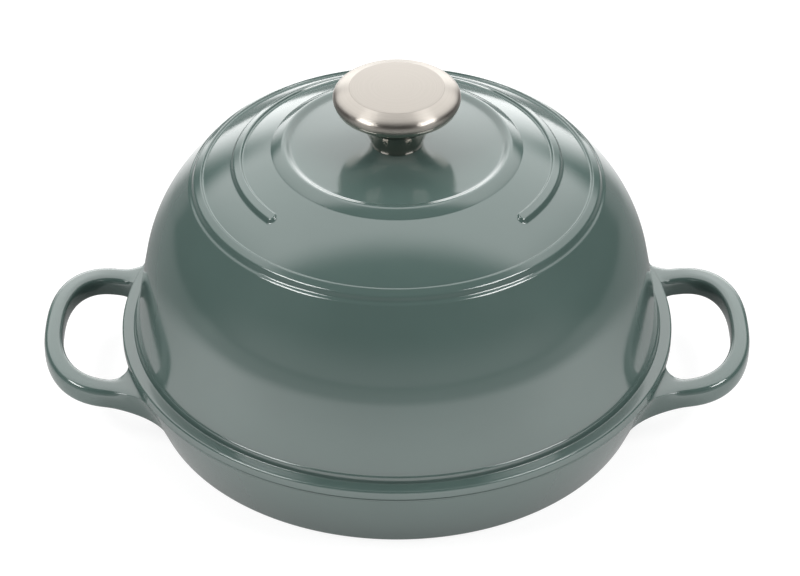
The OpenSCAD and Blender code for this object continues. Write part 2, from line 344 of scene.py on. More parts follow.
def zinc_plate(colours):
    """Zinc plated steel, barrel plated: a soft grey shine with faint cloudy patches."""
    material, tree, shader = new_material("zinc_plated_steel")
    if not tree:
        return material
    where = add_node(tree, "ShaderNodeTexCoord").outputs["Object"]
    cloud = add_node(tree, "ShaderNodeTexNoise", {"Vector": where, "Scale": per_metre(2.5), "Detail": 3.0})
    tone = add_node(
        tree, "ShaderNodeMapRange",
        {"Value": cloud.outputs["Fac"], "From Min": 0.3, "From Max": 0.7, "To Min": 0.85, "To Max": 1.08},
    )
    shaded = add_node(
        tree, "ShaderNodeHueSaturation", {"Color": (*colours.zinc, 1), "Value": tone.outputs["Result"]},
    )
    bump = add_node(tree, "ShaderNodeBump", {"Height": cloud.outputs["Fac"], "Distance": 0.01 * MM})
    tree.links.new(shaded.outputs["Color"], shader.inputs["Base Color"])
    tree.links.new(bump.outputs["Normal"], shader.inputs["Normal"])
    shader.inputs["Metallic"].default_value = 1.0
    shader.inputs["Roughness"].default_value = 0.32
    return material


# Material slots of the two castings
ENAMEL = 0
LINING = 1


def castings_materials(colours):
    """The materials of the pan and the lid, in slot order."""
    return [glossy_enamel(colours), satin_lining(colours)]


# Pan, in millimetres
FOOT_ROUND = 2.0
RIM_ROUND = 1.1
INNER_RIM_ROUND = 0.66
PAN_FLOOR = 5.0
CAVITY_ROUND = 9.0
RIDGES = 7
RIDGE_WIDTH = 3.2
RIDGE_HEIGHT = 0.9
RIDGE_FIRST = 16.0
RIDGE_PITCH = 12.0
RIDGE_STEPS = 8

# Handles, in millimetres, and degrees round from X or up from level: where the arms leave the bend,
# how square the bend's plan and the bar's section are, and how the bar rises towards its far end
ARM_Y = 42.0
BEND_X = 129.8
BEND_SQUARE = 2.4
BAR_TOP = 31.7
BAR_SQUARE = 3.4
RISE = 8.5
# The opening in the wall that an arm's root grows out of
ROOT_START = 13.5
ROOT_END = 28.5
ROOT_FOOT = 14.5
ROOT_HEAD = 33.1
# How far the root's surface keeps its direction: out of the bar, then along the wall
ROOT_OUTER_PULL = 26.0
ROOT_INNER_PULL = 14.0
ROOT_TOP_PULL = 2.5
ROOT_UNDER_PULL = 8.0
# How finely the openings, the roots and the bend are divided
ROOT_COLUMNS = 24
ROOT_ROWS = 12
ROOT_SECTIONS = 14
BEND_SECTIONS = 56


def pan_outline(sizes):
    """The pan's outline from the middle of its underside, up the outside and down the inside, and
    the numbers of the rings between which the handles grow out of the wall."""
    rim_r, rim_z = sizes.rim_radius / MM, sizes.rim_height / MM
    foot_r, wall = sizes.foot_radius / MM, sizes.pan_wall / MM
    slope = (rim_r - foot_r) / (rim_z - FOOT_ROUND)
    lean = math.degrees(math.atan(slope))
    sideways = 1 / math.cos(math.radians(lean))
    foot = arc((foot_r - FOOT_ROUND * sideways, FOOT_ROUND), FOOT_ROUND, -90, -lean, 12)
    rim_c = (rim_r - slope * RIM_ROUND - RIM_ROUND * sideways, rim_z - RIM_ROUND)
    rim = arc(rim_c, RIM_ROUND, -lean, 90, 10)
    root_foot = (rim_r - slope * (rim_z - ROOT_FOOT), ROOT_FOOT)
    root_head = (rim_r - slope * (rim_z - ROOT_HEAD), ROOT_HEAD)
    outside = straight((0, 0), foot[0], 24)[:-1] + foot[:-1] + straight(foot[-1], root_foot, 8)[:-1]
    first = len(outside)
    outside += straight(root_foot, root_head, ROOT_ROWS)[:-1]
    last = len(outside)
    outside += straight(root_head, rim[0], 2)[:-1] + rim
    seat_r = rim_r - wall
    inner_rim_c = (seat_r + INNER_RIM_ROUND, rim_z - INNER_RIM_ROUND)
    inner_rim = arc(inner_rim_c, INNER_RIM_ROUND, 90, 180 - lean, 6)
    cavity_z = PAN_FLOOR + CAVITY_ROUND
    cavity_r = foot_r - wall + slope * (cavity_z - FOOT_ROUND) - CAVITY_ROUND * sideways
    cavity = arc((cavity_r, cavity_z), CAVITY_ROUND, -lean, -90, 12)
    floor = []
    for i in reversed(range(RIDGES)):
        middle = RIDGE_FIRST + i * RIDGE_PITCH
        for k in range(RIDGE_STEPS + 1):
            part = 2 * k / RIDGE_STEPS - 1
            rise = RIDGE_HEIGHT * (0.5 + 0.5 * math.cos(math.pi * part))
            floor.append((middle - part * RIDGE_WIDTH / 2, PAN_FLOOR + rise))
    inside = inner_rim + straight(inner_rim[-1], cavity[0], 10)[1:-1] + cavity + floor + [(0, PAN_FLOOR)]
    return tidy(finish(outside, ENAMEL) + finish(inside, LINING)), first, last


def square_off(value, square):
    """A sine or cosine, squared off as in an ellipse of the given squareness."""
    return math.copysign(abs(value) ** (2 / square), value)


def bar_section(sizes, spot, out, phases):
    """Points of the handle's section at spot, where out faces away from the handle's middle."""
    wide = (sizes.bar_width + (sizes.arm_width - sizes.bar_width) * abs(out.y) ** 1.5) / 2
    high = sizes.bar_height / 2
    rise = (abs(spot[0]) - BEND_X) * math.tan(math.radians(RISE))
    middle = Vector((spot[0] * MM, spot[1] * MM, (BAR_TOP + rise) * MM - high))
    return [
        middle + out * (wide * square_off(math.cos(p), BAR_SQUARE))
        + Vector((0, 0, high * square_off(math.sin(p), BAR_SQUARE)))
        for p in phases
    ]


def root_curve(start, pull, end, arrive, share):
    """A point on the curve that leaves start along pull and arrives at end along arrive."""
    square, cube = share**2, share**3
    return (
        (2 * cube - 3 * square + 1) * start + (cube - 2 * square + share) * pull
        + (3 * square - 2 * cube) * end + (cube - square) * arrive
    )


def root_rim(rings, first, last, columns):
    """The vertices round a root's opening in the wall, each with its place across and up the opening
    from -1 to 1, and its phase round the bar."""
    low, high = columns
    rim = []
    for row in range(first, last + 1):
        for column in range(low, high + 1):
            if row in (first, last) or column in (low, high):
                across = 2 * (column - low) / (high - low) - 1
                up = 2 * (row - first) / (last - first) - 1
                rim.append((rings[row][column], across, up))
    return rim


def open_wall(shape, rings, first, last, side, arm):
    """Cuts the opening for one arm's root into the wall, and returns its first and last column."""
    angles = [math.atan2(v.co.y * arm, v.co.x * side) for v in rings[first]]
    low_angle, high_angle = math.radians(ROOT_START) - TINY, math.radians(ROOT_END) + TINY
    inside = [column for column, angle in enumerate(angles) if low_angle < angle < high_angle]
    low, high = min(inside), max(inside)
    cut = [
        f for row in range(first, last) for column in range(low, high)
        for f in rings[row][column].link_faces
        if rings[row + 1][column + 1] in f.verts
    ]
    bmesh.ops.delete(shape, geom=cut, context="FACES")
    return low, high


def grow_root(shape, sizes, rings, first, last, side, arm):
    """Adds the loops of vertices by which one arm spreads into the wall, from the opening outwards.
    Returns them with the phases of their vertices round the bar."""
    low, high = open_wall(shape, rings, first, last, side, arm)
    rim = []
    for vertex, across, up in root_rim(rings, first, last, (low, high)):
        outward = across * arm * side
        rim.append((math.atan2(up, outward) % math.tau, vertex, outward, up))
    rim.sort(key=lambda entry: entry[0])
    phases = [entry[0] for entry in rim]
    start = bar_section(sizes, (side * BEND_X, arm * ARM_Y), Vector((0, arm, 0)), phases)
    rise = (rings[last][low].co - rings[first][low].co).normalized()
    rise_out = math.hypot(rise.x, rise.y)
    curves = []
    for point, (phase, vertex, outward, up) in zip(start, rim):
        around = math.atan2(vertex.co.y, vertex.co.x)
        tangent = Vector((-math.sin(around), math.cos(around), 0)) * side * arm
        climb = Vector((math.cos(around) * rise_out, math.sin(around) * rise_out, rise.z))
        spread = ROOT_OUTER_PULL if outward > 0 else ROOT_INNER_PULL
        climb_pull = ROOT_TOP_PULL if up > 0 else ROOT_UNDER_PULL
        arrive = tangent * (outward**3 * spread * MM) + climb * (up**3 * climb_pull * MM)
        share = 0.5 + 0.5 * math.cos(phase)
        leave = ROOT_INNER_PULL + (ROOT_OUTER_PULL - ROOT_INNER_PULL) * share
        pull = Vector((-side, 0, -math.tan(math.radians(RISE)))) * (leave * MM)
        curves.append((point, pull, vertex.co.copy(), arrive))
    loops = [[entry[1] for entry in rim]]
    for i in range(1, ROOT_SECTIONS + 1):
        share = 1 - i / ROOT_SECTIONS
        loops.append([shape.verts.new(root_curve(*curve, share)) for curve in curves])
    return loops, phases


def add_handle(shape, sizes, rings, first, last, side):
    """Adds the handle at side 1 (+X) or -1 (-X): the bar's bend between the roots of its two arms."""
    start, phases = grow_root(shape, sizes, rings, first, last, side, -1)
    end, _ = grow_root(shape, sizes, rings, first, last, side, 1)
    reach = sizes.handle_reach / MM - sizes.bar_width / MM / 2 - BEND_X
    power = BEND_SQUARE - 1
    bend = []
    for i in range(1, BEND_SECTIONS):
        t = math.radians(-90 + 180 * i / BEND_SECTIONS)
        x, y = (square_off(part, BEND_SQUARE) for part in (math.cos(t), math.sin(t)))
        spot = (side * (BEND_X + reach * x), ARM_Y * y)
        out = Vector((side * x**power / reach, math.copysign(abs(y) ** power, y) / ARM_Y, 0)).normalized()
        bend.append([shape.verts.new(p) for p in bar_section(sizes, spot, out, phases)])
    chain = start + bend + list(reversed(end))
    for here, after in zip(chain, chain[1:]):
        for k in range(len(here)):
            n = (k + 1) % len(here)
            shape.faces.new((here[k], here[n], after[n], after[k])).material_index = ENAMEL


class CLOCHE_OT_pan(bpy.types.Operator):
    """Build the shallow cast iron pan with its two loop handles"""

    bl_idname = "cloche.pan"
    bl_label = "Pan"

    def execute(self, context):
        sizes = context.scene.cloche_sizes
        outline, first, last = pan_outline(sizes)
        # Angles in degrees, each with the number of columns up to the next
        stops = [(0, 12)]
        for turn_start in (0, 180):
            stops += [
                (turn_start + ROOT_START, ROOT_COLUMNS), (turn_start + ROOT_END, 88),
                (turn_start + 180 - ROOT_END, ROOT_COLUMNS), (turn_start + 180 - ROOT_START, 24),
            ]
        stops[-1] = (360 - ROOT_START, 12)
        stops.append((360, 0))
        shape = bmesh.new()
        rings = turn(shape, outline, spaced(stops))
        for side in (-1, 1):
            add_handle(shape, sizes, rings, first, last, side)
        materials = castings_materials(context.scene.cloche_colours)
        piece("pan_casting", shape, materials, "pan", "base")
        return {"FINISHED"}


# Lid, in millimetres and degrees: the wall, the shoulder, the upper slope and the crown
WALL_LEAN = 11.0
WALL_FOOT = 8.3
SHOULDER_Z = 74.2
SHOULDER_R = 70.0
UPPER_LEAN = 38.0
CROWN_BALL = 170.0
EDGE_ROUND = 2.5
# The flange on the pan's rim, the cove above it, and the collar, a low swelling of the wall's foot
SEAM_GAP = 0.03
FLANGE_HEIGHT = 4.3
FLANGE_ROUND = 1.0
FLANGE_FOOT_ROUND = 0.4
COVE_R = 0.5
COLLAR_OUT = 0.35
COLLAR_HEIGHT = 7.8
COLLAR_ROUND = 0.9
COLLAR_TURN = 60.0
LIP_GAP = 0.8
LIP_ROUND = 0.6
LIP_CHAMFER = 1.0
# The rings, each given by its outer radius, and the disc that the knob stands on
LARGE_RING_IN = 1.0
MIDDLE_RING_R = 73.3
SMALL_RING_R = 55.4
RING_WIDTH = 5.8
RING_OUTER_EDGE = 1.9
RING_INNER_EDGE = 1.5
SMALL_RING_OUTER_EDGE = 4.8
SMALL_RING_HEIGHT = 1.15
SMALL_RING_CREST = 50.0
RING_GAP = 50.0
DISC_R = 46.0
DISC_RISE = 1.3
SEAT_R = 12.6
CEILING_DROP = 5.2
HOLE_R = 3.5
# The crown's outline has a point for each such step of its radius
CROWN_STEP = 0.25


def smooth_step(value):
    """A smooth rise from 0 to 1 as value goes from 0 to 1."""
    t = min(max(value, 0.0), 1.0)
    return t * t * t * (t * (6 * t - 15) + 10)


def round_up(value):
    """A rise from 0 to 1 as value goes from 0 to 1, a little steeper at its foot."""
    t = min(max(value, 0.0), 1.0)
    return smooth_step(min(t / 0.12, 1.0)) * (1.24 * t - 0.24 * t * t)


def bead(inward):
    """Height share of a ring's raised band, at a distance in from its outer edge."""
    return smooth_step(inward / RING_OUTER_EDGE) * smooth_step((RING_WIDTH - inward) / RING_INNER_EDGE)


class Dome:
    """The lid's outside in millimetres: wall, shoulder, upper slope and crown."""

    def __init__(self, sizes):
        self.seam_z = sizes.rim_height / MM
        self.rim_r = sizes.rim_radius / MM
        self.wall = sizes.lid_wall / MM
        self.crown_r = sizes.crown_radius / MM
        dome_r = sizes.dome_radius / MM
        lean, upper = math.radians(WALL_LEAN), math.radians(UPPER_LEAN)
        self.foot = (dome_r, self.seam_z + WALL_FOOT)
        shoulder_x = self.wall_at(SHOULDER_Z)
        self.shoulder_c = (
            shoulder_x - SHOULDER_R * math.cos(lean), SHOULDER_Z - SHOULDER_R * math.sin(lean),
        )
        start = arc(self.shoulder_c, SHOULDER_R, UPPER_LEAN, UPPER_LEAN, 1)[0]
        crown_z = start[1] + (start[0] - self.crown_r) / math.tan(upper)
        self.crown_c = crown_z - math.sqrt(CROWN_BALL**2 - self.crown_r**2)
        self.disc_z = LID_HIGH.z / MM

    def wall_at(self, z):
        """Radius of the leaning wall at height z."""
        return self.foot[0] - (z - self.foot[1]) * math.tan(math.radians(WALL_LEAN))

    def crown(self, r, drop=0.0):
        """Height of the crown's sphere, lowered by drop, at radius r."""
        return self.crown_c + math.sqrt((CROWN_BALL - drop) ** 2 - r * r)

    def edge(self):
        """The rounded edge between the upper slope and the crown."""
        tilt = math.degrees(math.asin(self.crown_r / CROWN_BALL))
        low, high = UPPER_LEAN, 90 - tilt
        reach = EDGE_ROUND * math.tan(math.radians((high - low) / 2))
        corner = (self.crown_r, self.crown(self.crown_r))
        start = (
            corner[0] + reach * math.sin(math.radians(low)), corner[1] - reach * math.cos(math.radians(low)),
        )
        centre = (
            start[0] - EDGE_ROUND * math.cos(math.radians(low)),
            start[1] - EDGE_ROUND * math.sin(math.radians(low)),
        )
        return arc(centre, EDGE_ROUND, low, high, 10)


def middle_band(radius, angle):
    """Height share of the middle ring, which is open at the front and has round ends."""
    half = RING_WIDTH / 2
    middle = MIDDLE_RING_R - half
    off = abs((math.degrees(angle) - 270 + 180) % 360 - 180)
    if off >= RING_GAP:
        return bead(MIDDLE_RING_R - radius)
    end = math.radians(RING_GAP - off) * middle
    distance = math.hypot(end, radius - middle)
    return smooth_step((half - distance) / RING_INNER_EDGE) if distance < half else 0.0


def lid_outside(sizes, dome):
    """The lid's outline from the foot of its flange, up the outside to the edge of the screw's hole."""
    seam, rim_r = dome.seam_z, dome.rim_r
    sideways = 1 / math.cos(math.radians(WALL_LEAN))
    foot_c = (rim_r - FLANGE_FOOT_ROUND, seam + SEAM_GAP + FLANGE_FOOT_ROUND)
    foot = arc(foot_c, FLANGE_FOOT_ROUND, -90, 0, 8)
    flange = arc((rim_r - FLANGE_ROUND, seam + FLANGE_HEIGHT - FLANGE_ROUND), FLANGE_ROUND, 0, 90, 12)
    cove_z = seam + FLANGE_HEIGHT + COVE_R
    cove_c = (dome.wall_at(cove_z) + COLLAR_OUT + COVE_R * sideways, cove_z)
    cove = arc(cove_c, COVE_R, 270, 180 + WALL_LEAN, 12)
    top_z = seam + COLLAR_HEIGHT - COLLAR_ROUND
    collar_c = (dome.wall_at(top_z) + COLLAR_OUT - COLLAR_ROUND * sideways, top_z)
    collar = arc(collar_c, COLLAR_ROUND, WALL_LEAN, COLLAR_TURN, 12)
    top_r, top_z = collar[-1]
    arrive = (dome.wall_at(top_z + 0.2), top_z + 0.2)
    join = bezier((top_r, top_z), (top_r - 0.1, top_z + 0.06), arrive, dome.foot, 8)
    shoulder = arc(dome.shoulder_c, SHOULDER_R, WALL_LEAN, UPPER_LEAN, 40)
    edge = dome.edge()
    outside = (
        foot + straight(foot[-1], flange[0], 3)[1:-1] + flange + straight(flange[-1], cove[0], 4)[1:-1] + cove
        + straight(cove[-1], collar[0], 3)[1:-1] + collar + join[1:]
        + straight(dome.foot, shoulder[0], 40)[1:-1] + shoulder
        + straight(shoulder[-1], edge[0], 16)[1:-1] + edge
    )
    large_r = dome.crown_r - LARGE_RING_IN
    radius = outside[-1][0] - CROWN_STEP
    while radius > SMALL_RING_CREST:
        height = dome.crown(radius) + sizes.ring_height / MM * bead(large_r - radius)
        height += SMALL_RING_HEIGHT * round_up((SMALL_RING_R - radius) / SMALL_RING_OUTER_EDGE)
        outside.append((radius, height))
        radius -= CROWN_STEP
    crest_r, crest_z = outside[-1]
    edge_z = dome.disc_z - DISC_RISE
    disc_edge = (DISC_R, edge_z + 0.02)
    inner_side = bezier(outside[-1], (crest_r - 1.6, crest_z + 0.3), (DISC_R + 1.5, edge_z), disc_edge, 20)
    disc = bezier(
        (DISC_R, edge_z), (DISC_R * 0.7, dome.disc_z - DISC_RISE * 0.4),
        (DISC_R * 0.45, dome.disc_z), (SEAT_R, dome.disc_z), 30,
    )
    return outside + inner_side[1:] + disc[1:] + straight(disc[-1], (HOLE_R, dome.disc_z), 6)[1:]


def lid_inside(sizes, dome):
    """The lid's outline from the screw's hole, down the inside and round the locating lip."""
    seam, rim_r = dome.seam_z, dome.rim_r
    ceiling = dome.disc_z - CEILING_DROP
    ceiling_r = math.sqrt((CROWN_BALL - dome.wall) ** 2 - (ceiling - dome.crown_c) ** 2)
    turn_r = dome.crown_r - dome.wall
    inside = straight((HOLE_R, ceiling), (ceiling_r, ceiling), 12)
    inside += [(r, dome.crown(r, dome.wall)) for r, _ in straight((ceiling_r, 0), (turn_r, 0), 16)[1:]]
    inside += arc(dome.shoulder_c, SHOULDER_R - dome.wall, UPPER_LEAN, WALL_LEAN, 20)
    mouth = inside[-1][0] + (inside[-1][1] - seam) * math.tan(math.radians(WALL_LEAN))
    slope = (rim_r - sizes.foot_radius / MM) / (seam - FOOT_ROUND)
    lip_r = rim_r - sizes.pan_wall / MM - LIP_GAP
    low = seam - LIP_DEPTH
    lip_foot = lip_r - slope * (LIP_DEPTH - LIP_CHAMFER)
    inside += straight(inside[-1], (mouth, seam), 20)[1:]
    inside += [(mouth, low + LIP_ROUND), (mouth + LIP_ROUND, low)]
    inside += [(lip_foot - LIP_CHAMFER, low), (lip_foot, low + LIP_CHAMFER)]
    inside += [(lip_r, seam + SEAM_GAP - 0.4), (lip_r + 0.4, seam + SEAM_GAP)]
    return inside


class CLOCHE_OT_lid(bpy.types.Operator):
    """Build the domed lid with its three raised rings"""

    bl_idname = "cloche.lid"
    bl_label = "Lid"

    def execute(self, context):
        sizes = context.scene.cloche_sizes
        dome = Dome(sizes)
        outline = finish(lid_outside(sizes, dome), ENAMEL) + finish(lid_inside(sizes, dome), LINING)

        def lift(radius, height, angle):
            """Height of the middle ring, which only the outside of the crown has."""
            r = radius / MM
            beside = not MIDDLE_RING_R - RING_WIDTH <= r <= MIDDLE_RING_R
            if beside or height / MM < dome.crown(r) - dome.wall / 2:
                return 0.0
            return sizes.ring_height * middle_band(r, angle)

        # Angles in degrees, each with the number of columns up to the next, closest at the ring's ends
        stops = [(0, 214), (214, 40), (226, 88), (314, 40), (326, 34), (360, 0)]
        shape = bmesh.new()
        turn(shape, tidy(outline), spaced(stops), closed=True, lift=lift)
        materials = castings_materials(context.scene.cloche_colours)
        piece("lid_casting", shape, materials, "cover", "lid")
        return {"FINISHED"}


# Knob, in millimetres, with drops below its top: the lower edge of its side, its widest place and
# the bevel's middle, then the flat face and the neck
EDGE_DROP = 7.3
WIDE_DROP = 5.4
BEVEL_DROP = 2.2
BEVEL_IN = 2.6
FLAT_R = 20.4
TOP_DOME = 0.6
FACE_STEPS = 24
NECK_R = 11.5
NECK_ROUND = 0.4
BORE_R = 3.0
BORE_DEPTH = 14.0
BORE_POINT = 1.5
BORE_CHAMFER = 0.6

# Material slots of the knob
POLISHED = 0
SATIN = 1
FACE = 2


def knob_outline(sizes):
    """The knob's outline from the top of its blind bore, down and out, up the neck and over the head."""
    head_r, top = sizes.knob_radius / MM, sizes.knob_top / MM
    seat = KNOB_LOW.z / MM
    edge_z, wide_z, bevel_z = top - EDGE_DROP, top - WIDE_DROP, top - BEVEL_DROP
    bore_top = seat + BORE_DEPTH
    bore = [(0, bore_top), (BORE_R, bore_top - BORE_POINT)]
    bore += [(BORE_R, seat + BORE_CHAMFER), (BORE_R + BORE_CHAMFER, seat)]
    foot = arc((NECK_R - NECK_ROUND, seat + NECK_ROUND), NECK_ROUND, -90, -4, 6)
    throat = (head_r - 1.2, edge_z - 2)
    neck = bezier(foot[-1], (NECK_R + 0.8, seat + 6.5), (NECK_R + 6.4, seat + 15), throat, 44)
    lip_end = (head_r - 0.45, edge_z - 0.15)
    lip = bezier(throat, (head_r - 0.8, edge_z - 1.2), (head_r - 0.5, edge_z - 0.6), lip_end, 6)
    widest = (head_r, wide_z)
    side = bezier((head_r - 0.4, edge_z), (head_r - 0.1, edge_z + 0.8), (head_r, wide_z - 1), widest, 10)
    brink = (FLAT_R + 0.4, top - TOP_DOME - 0.15)
    over = bezier(widest, (head_r, wide_z + 2.4), (head_r - BEVEL_IN, bevel_z), brink, 30)
    shares = [1 - i / FACE_STEPS for i in range(FACE_STEPS + 1)]
    dome = [(FLAT_R * share, top - TOP_DOME * share**2) for share in shares]
    rounded = bezier(brink, (FLAT_R + 0.1, top - TOP_DOME - 0.03), dome[0], dome[1], 5)
    return tidy(
        finish(bore + foot + neck + lip, POLISHED)
        + finish(side + over, SATIN) + finish(rounded + dome[2:], FACE)
    )


class CLOCHE_OT_knob(bpy.types.Operator):
    """Build the turned steel knob"""

    bl_idname = "cloche.knob"
    bl_label = "Knob"

    def execute(self, context):
        colours = context.scene.cloche_colours
        shape = bmesh.new()
        turn(shape, knob_outline(context.scene.cloche_sizes), EVEN)
        materials = [
            turned_steel(
                colours, "polished_turned_steel", painted_shade_factor=1.0, roughness=0.1,
                mark_mm=0.9, mark_depth_mm=0.001, anisotropy=0.3,
            ),
            # The head's satin side and bevel keep 0.6 of the steel's colour and its top face 0.52: painted
            # shading where the lamps light the head strongly
            turned_steel(
                colours, "satin_turned_steel_painted_darker", painted_shade_factor=0.6, roughness=0.3,
                mark_mm=0.5, mark_depth_mm=0.003, anisotropy=0.94,
            ),
            turned_steel(
                colours, "satin_blasted_steel_painted_darker", painted_shade_factor=0.52, roughness=0.46,
                mark_mm=0.5, mark_depth_mm=0.003, anisotropy=0.0,
            ),
        ]
        piece("turned_knob", shape, materials, "cover", "knob", sharp=25)
        return {"FINISHED"}


# Screw and washer, in millimetres
SHANK_R = 2.95
THREAD_PITCH = 1.0
THREAD_DEPTH = 0.5
PLAIN_SHANK = 6.0
HEAD_DOME = 1.2
RECESS_WIDTH = 1.2
RECESS_LENGTH = 6.0
RECESS_DEPTH = 1.6
RECESS_TAPER = 0.55
WASHER_HOLE = 3.2
WASHER_EDGE = 0.2


def screw_shape():
    """The screw: a domed head below, a plain shank through the lid and a thread inside the knob."""
    low, high = SCREW_LOW.z / MM, SCREW_HIGH.z / MM
    head_r = SCREW_HIGH.x / MM
    head_top = WASHER_LOW.z / MM
    ball = (head_r**2 + HEAD_DOME**2) / (2 * HEAD_DOME)
    reach = math.degrees(math.asin((head_r - 0.3) / ball))
    shape = bmesh.new()
    dome = arc((0, low + ball), ball, -90, -90 + reach, 14)
    side_z = low + HEAD_DOME
    side = bezier(dome[-1], (head_r, dome[-1][1] + 0.1), (head_r, side_z), (head_r, side_z + 0.4), 4)
    body = [(head_r, head_top - 0.15), (head_r - 0.15, head_top), (SHANK_R, head_top)]
    thread_low, thread_high = head_top + PLAIN_SHANK, high - 1.0
    steps = int((thread_high - thread_low) / (THREAD_PITCH / 8))
    thread = straight((SHANK_R, thread_low), (SHANK_R, thread_high), steps)
    tip = [(SHANK_R - 0.8, high), (0, high)]
    outline = tidy(finish([(0, low)] + dome[1:] + side + body + thread + tip, 0))
    angles = spaced([(0, 60), (360, 0)])
    rings = turn(shape, outline, angles)
    for ring in rings:
        height = ring[0].co.z / MM
        if len(ring) > 1 and thread_low < height < thread_high:
            for vertex, angle in zip(ring, angles):
                wave = (height / THREAD_PITCH - angle / math.tau) % 1
                depth = THREAD_DEPTH * (1 - abs(2 * wave - 1))
                vertex.co.xy *= (SHANK_R - depth) / SHANK_R
    return shape


def cut_recess(obj):
    """Cuts the cross recess into the screw's head."""
    cutter_shape = bmesh.new()
    low = SCREW_LOW.z
    for turned in (0, 90):
        made = bmesh.ops.create_cube(cutter_shape, size=1)["verts"]
        along = turned == 0
        for vertex in made:
            long = RECESS_LENGTH * (RECESS_TAPER if vertex.co.z > 0 else 1.0)
            x, y = (long, RECESS_WIDTH) if along else (RECESS_WIDTH, long)
            vertex.co.x *= x * MM
            vertex.co.y *= y * MM
            vertex.co.z = low + (RECESS_DEPTH * MM if vertex.co.z > 0 else -MM)
    mesh = bpy.data.meshes.new("recess_cutter")
    cutter_shape.to_mesh(mesh)
    cutter_shape.free()
    cutter = bpy.data.objects.new("recess_cutter", mesh)
    bpy.context.scene.collection.objects.link(cutter)
    cut = obj.modifiers.new("recess", "BOOLEAN")
    cut.operation = "DIFFERENCE"
    cut.solver = "EXACT"
    cut.use_self = True
    cut.object = cutter
    depsgraph = bpy.context.evaluated_depsgraph_get()
    carved = bpy.data.meshes.new_from_object(obj.evaluated_get(depsgraph))
    obj.modifiers.clear()
    obj.data = carved
    bpy.data.objects.remove(cutter)


class CLOCHE_OT_fixing(bpy.types.Operator):
    """Build the screw and the washer that hold the knob"""

    bl_idname = "cloche.fixing"
    bl_label = "Screw and washer"

    def execute(self, context):
        materials = [zinc_plate(context.scene.cloche_colours)]
        screw = piece("screw", screw_shape(), materials, "cover", "knob_screw", sharp=35)
        cut_recess(screw)
        low, high, outer = WASHER_LOW.z / MM, WASHER_HIGH.z / MM, WASHER_HIGH.x / MM
        outline = (
            arc((outer - WASHER_EDGE, low + WASHER_EDGE), WASHER_EDGE, -90, 0, 4)
            + arc((outer - WASHER_EDGE, high - WASHER_EDGE), WASHER_EDGE, 0, 90, 4)
            + [(WASHER_HOLE + WASHER_EDGE, high), (WASHER_HOLE, high - WASHER_EDGE)]
            + [(WASHER_HOLE, low + WASHER_EDGE), (WASHER_HOLE + WASHER_EDGE, low)]
        )
        shape = bmesh.new()
        turn(shape, tidy(finish(outline, 0)), spaced([(0, 120), (360, 0)]), closed=True)
        piece("screw_washer", shape, materials, "cover", "washer", sharp=50)
        return {"FINISHED"}


# Camera: where it stands and the point that the view's middle meets
VIEW_ELEVATION = 37.04
VIEW_DISTANCE = 1.370
SEAM_MIDDLE = Vector((0, 0, 0.0375))
AIM_RIGHT = 0.001
AIM_UP = 0.00967
LENS = 135.0

# Distance from the floor's middle to its edges, in metres
FLOOR_REACH = 6.0

# Lamps: where each stands as seen from the object, its size in metres, its radiance and the share
# of its width and height over which its edges fade
SOFTBOX = {
    "azimuth": 180, "elevation": 56, "distance": 1.5,
    "size": (4.4, 2.1), "radiance": 2.0, "fade": (0.3, 0.2),
}
STRIPS = {
    "azimuth": 65, "elevation": 49, "distance": 1.4,
    "size": (0.62, 0.4), "radiance": 11.0, "fade": (0.02, 0.02),
}
# Cycles gives an area lamp a radiance of a quarter of its power for each square metre
POWER_PER_RADIANCE = 4.0


def direction(azimuth, elevation):
    """Unit vector towards a place round the object, with the azimuth counted from the front."""
    a, e = math.radians(azimuth), math.radians(elevation)
    return Vector((math.sin(a) * math.cos(e), -math.cos(a) * math.cos(e), math.sin(e)))


def add_lamp(name, azimuth, elevation, distance, size, radiance, fade):
    """A rectangular lamp with soft edges that faces the object and isn't seen by the camera."""
    lamp = bpy.data.lights.new(name, "AREA")
    lamp.shape = "RECTANGLE"
    lamp.size, lamp.size_y = size
    lamp.energy = radiance * size[0] * size[1] * POWER_PER_RADIANCE
    lamp.use_nodes = True
    tree = lamp.node_tree
    spot = add_node(tree, "ShaderNodeNewGeometry").outputs["Parametric"]
    parts = add_node(tree, "ShaderNodeSeparateXYZ", {"Vector": spot})
    edges = []
    for axis, share in zip("XY", fade):
        inwards = add_node(tree, "ShaderNodeMath", {0: parts.outputs[axis], 1: 0.5}, operation="PINGPONG")
        edges.append(add_node(
            tree, "ShaderNodeMapRange", {"Value": inwards.outputs["Value"], "From Max": share},
            interpolation_type="SMOOTHSTEP",
        ))
    glow = add_node(
        tree, "ShaderNodeMath", {0: edges[0].outputs["Result"], 1: edges[1].outputs["Result"]},
        operation="MULTIPLY",
    )
    tree.links.new(glow.outputs["Value"], tree.nodes["Emission"].inputs["Strength"])
    obj = bpy.data.objects.new(name, lamp)
    bpy.context.scene.collection.objects.link(obj)
    towards = direction(azimuth, elevation)
    obj.location = SEAM_MIDDLE + towards * distance
    obj.rotation_euler = towards.to_track_quat("Z", "Y").to_euler()
    obj.visible_camera = False


